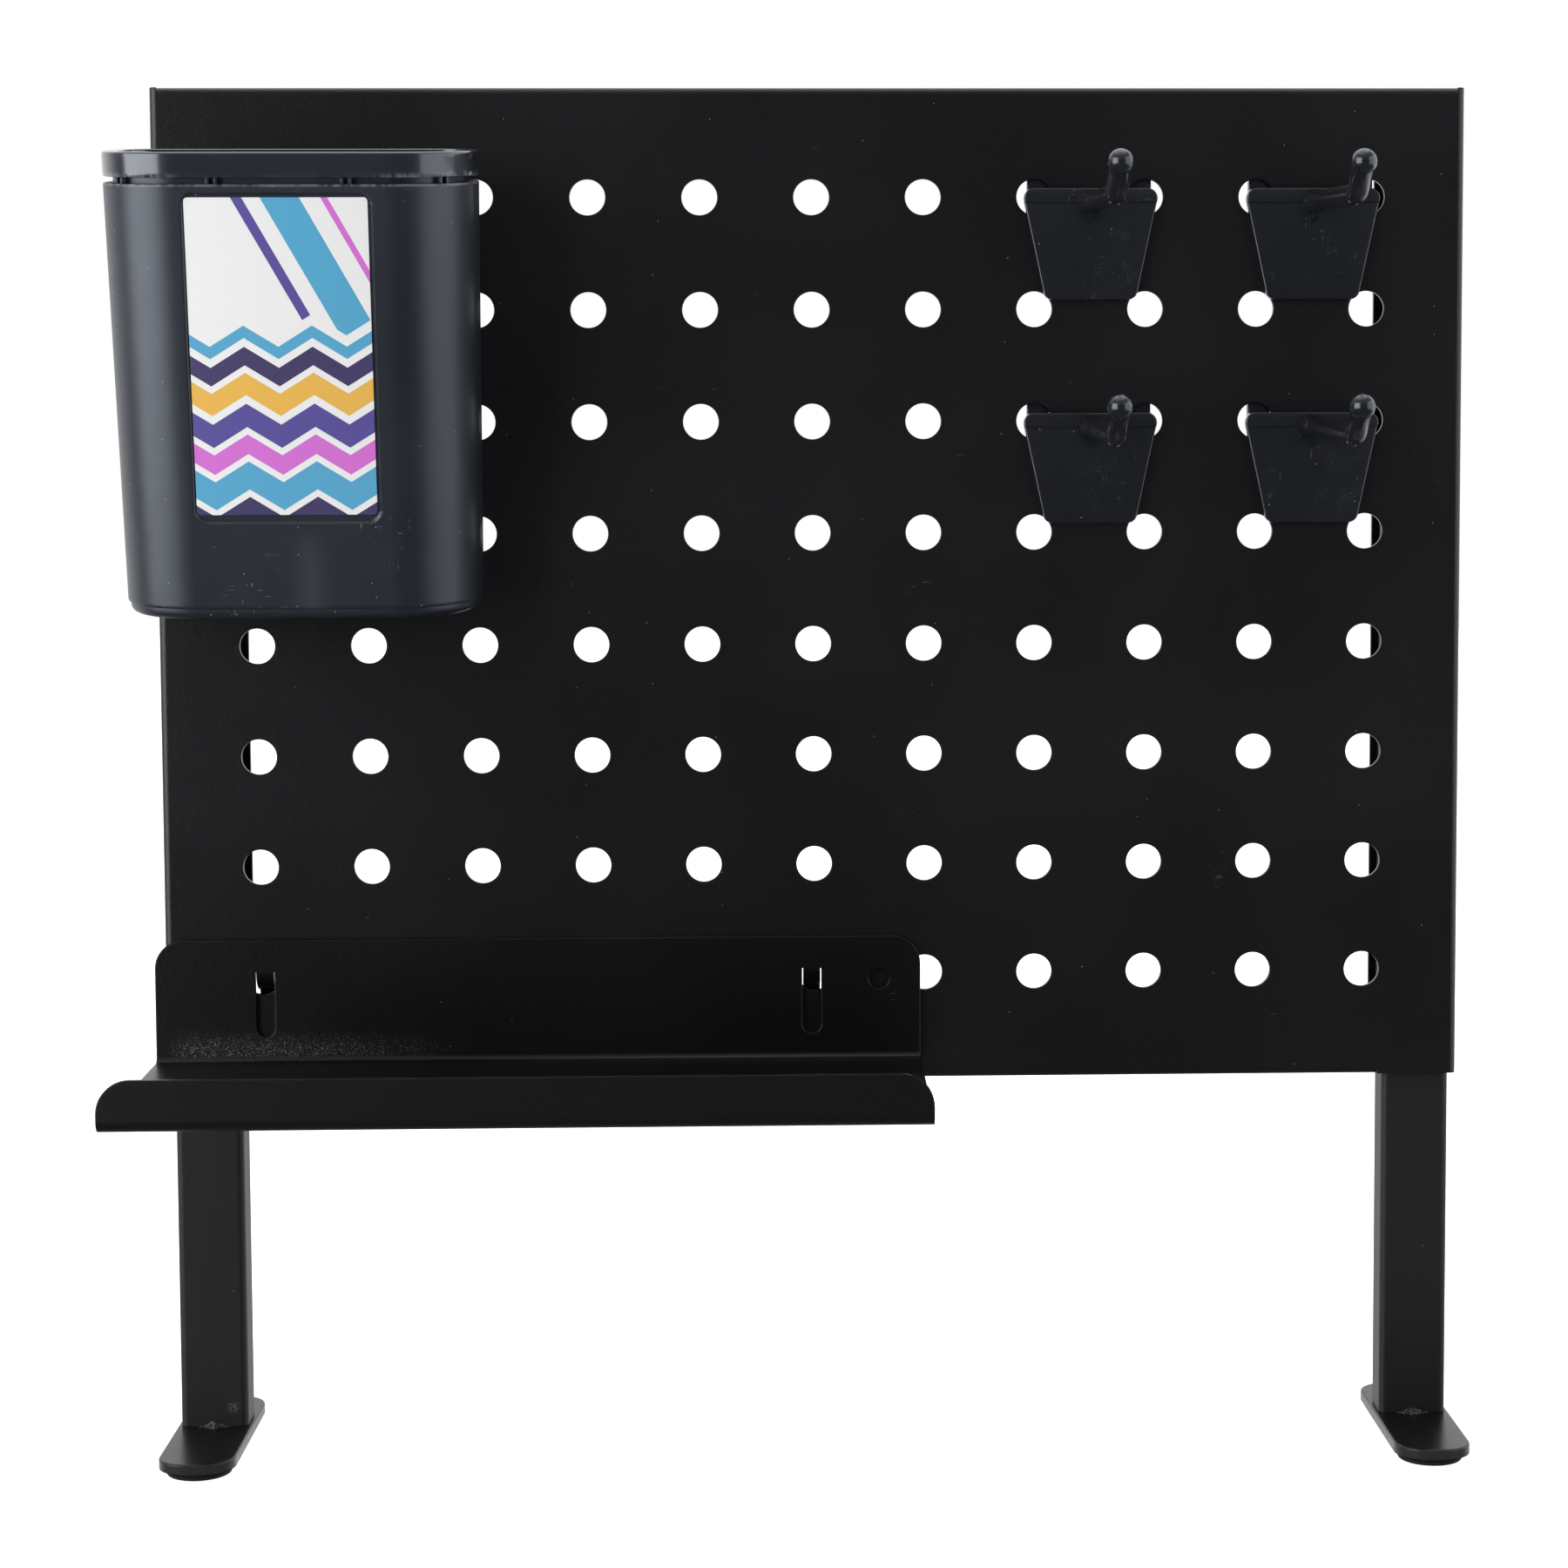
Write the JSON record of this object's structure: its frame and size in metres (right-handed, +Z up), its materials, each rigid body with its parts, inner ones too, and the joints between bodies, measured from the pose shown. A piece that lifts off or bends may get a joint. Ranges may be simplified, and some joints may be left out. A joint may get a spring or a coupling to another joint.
{
  "type": "pegboard desk organizer",
  "caption": "Free-standing steel pegboard on two legs with flat feet, holding a pen cup, a small shelf and peg hooks that hang in its holes.",
  "frame": {"origin": "on the desk, below the middle of the whole organizer", "axes": "+X to the board's right seen from the front, +Y to its back, +Z up"},
  "size_m": [0.2982, 0.0938, 0.3076],
  "materials": {
    "powder_coated_steel": "satin black powder coat",
    "pad_rubber": "matte black",
    "fastener_steel": "black zinc",
    "cup_plastic": "semi-gloss charcoal",
    "collar_plastic": "gloss charcoal",
    "label_card": "printed with a plain pattern",
    "hook_plastic": "gloss black"
  },
  "bodies": {
    "board": {"pegboard_panel": "powder_coated_steel", "leg_tube_left": "powder_coated_steel", "foot_plate_left": "powder_coated_steel", "foot_weld_left": "powder_coated_steel", "foot_pad_front_left": "pad_rubber", "foot_pad_rear_left": "pad_rubber", "leg_screws_left": "fastener_steel", "leg_nuts_left": "fastener_steel", "leg_tube_right": "powder_coated_steel", "foot_plate_right": "powder_coated_steel", "foot_weld_right": "powder_coated_steel", "foot_pad_front_right": "pad_rubber", "foot_pad_rear_right": "pad_rubber", "leg_screws_right": "fastener_steel", "leg_nuts_right": "fastener_steel"},
    "cup": {"cup_body": "cup_plastic", "cup_collar": "collar_plastic", "cup_label": "label_card"},
    "shelf": {"shelf_tray": "powder_coated_steel"},
    "hook_upper_left": {"peg_hook_upper_left": "hook_plastic"},
    "hook_upper_right": {"peg_hook_upper_right": "hook_plastic"},
    "hook_lower_left": {"peg_hook_lower_left": "hook_plastic"},
    "hook_lower_right": {"peg_hook_lower_right": "hook_plastic"}
  },
  "joints": [
    {"name": "cup_unhook", "type": "hinge", "parent": "board", "child": "cup", "pos_m": [-0.10958, 0.0203, 0.28495], "axis": [-1, 0, 0], "range_deg": [0, 30]},
    {"name": "shelf_lift", "type": "slide", "parent": "board", "child": "shelf", "axis": [0, 0, 1], "range_m": [0, 0.002]},
    {"name": "hook_upper_left_unhook", "type": "hinge", "parent": "board", "child": "hook_upper_left", "pos_m": [0.06457, 0.0203, 0.28495], "axis": [-1, 0, 0], "range_deg": [0, 30]},
    {"name": "hook_upper_right_unhook", "type": "hinge", "parent": "board", "child": "hook_upper_right", "pos_m": [0.11457, 0.0203, 0.28495], "axis": [-1, 0, 0], "range_deg": [0, 30]},
    {"name": "hook_lower_left_unhook", "type": "hinge", "parent": "board", "child": "hook_lower_left", "pos_m": [0.06457, 0.0203, 0.23495], "axis": [-1, 0, 0], "range_deg": [0, 30]},
    {"name": "hook_lower_right_unhook", "type": "hinge", "parent": "board", "child": "hook_lower_right", "pos_m": [0.11457, 0.0203, 0.23495], "axis": [-1, 0, 0], "range_deg": [0, 30]}
  ]
}
